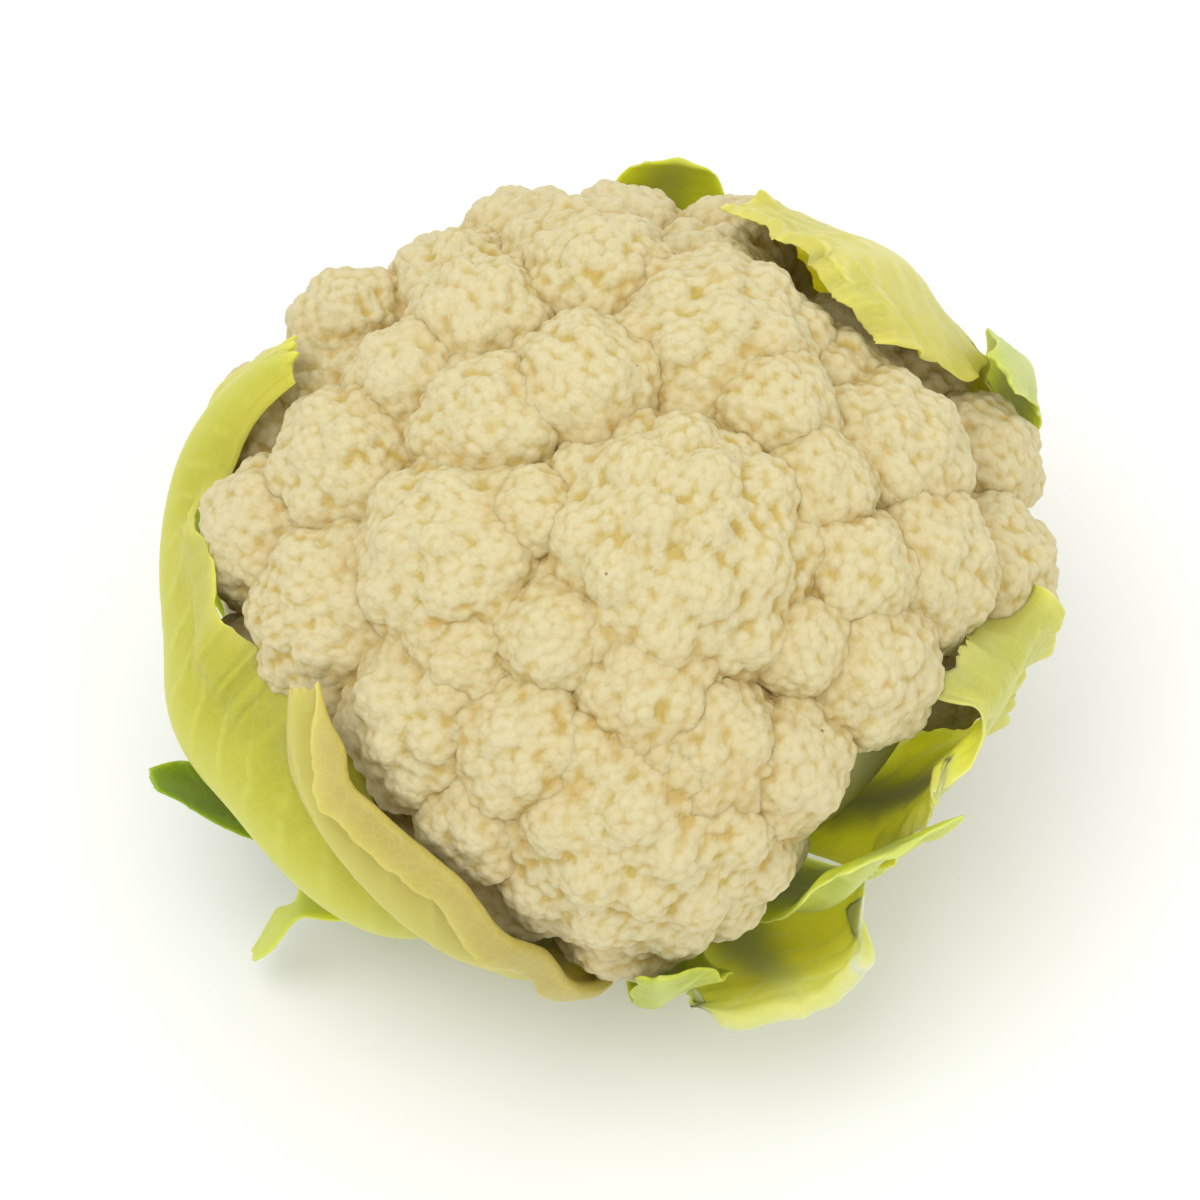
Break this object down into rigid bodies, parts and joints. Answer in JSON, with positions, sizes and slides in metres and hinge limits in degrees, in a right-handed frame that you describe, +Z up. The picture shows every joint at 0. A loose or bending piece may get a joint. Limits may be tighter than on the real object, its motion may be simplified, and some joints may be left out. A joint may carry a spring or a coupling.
{
  "type": "cauliflower",
  "caption": "Trimmed head of white cauliflower: a knobbly cream curd on a short thick stalk cut flat, clasped by the pale and green leaves left on it.",
  "frame": {"origin": "middle of the flat cut face of the stalk, on which the head stands", "axes": "+Z up from the cut face through the crown, -Y towards the side the picture shows, +X to the right of that side"},
  "size_m": [0.1924, 0.1981, 0.1413],
  "materials": {
    "curd": "matt fine-grained cream curd, yellower in the creases",
    "stalk": "satin pale green skin with a dull cut face",
    "leaf_pale": "satin waxy leaf, pale yellow-green with a whitish rib",
    "leaf_green": "satin waxy leaf, yellow-green with a paler rib",
    "leaf_dark": "satin waxy leaf, mid green with a pale rib"
  },
  "bodies": {
    "root": {"curd": "curd", "stalk": "stalk", "leaf_left": "leaf_green", "leaf_front_left": "leaf_pale", "leaf_right": "leaf_pale", "leaf_front_right": "leaf_green", "leaf_front": "leaf_pale", "leaf_back_right": "leaf_pale", "leaf_right_back": "leaf_green", "leaf_back": "leaf_green", "leaf_back_left": "leaf_green", "leaf_left_back": "leaf_dark", "leaf_left_low": "leaf_dark", "leaf_front_low": "leaf_green", "leaf_torn": "leaf_green"}
  },
  "joints": []
}
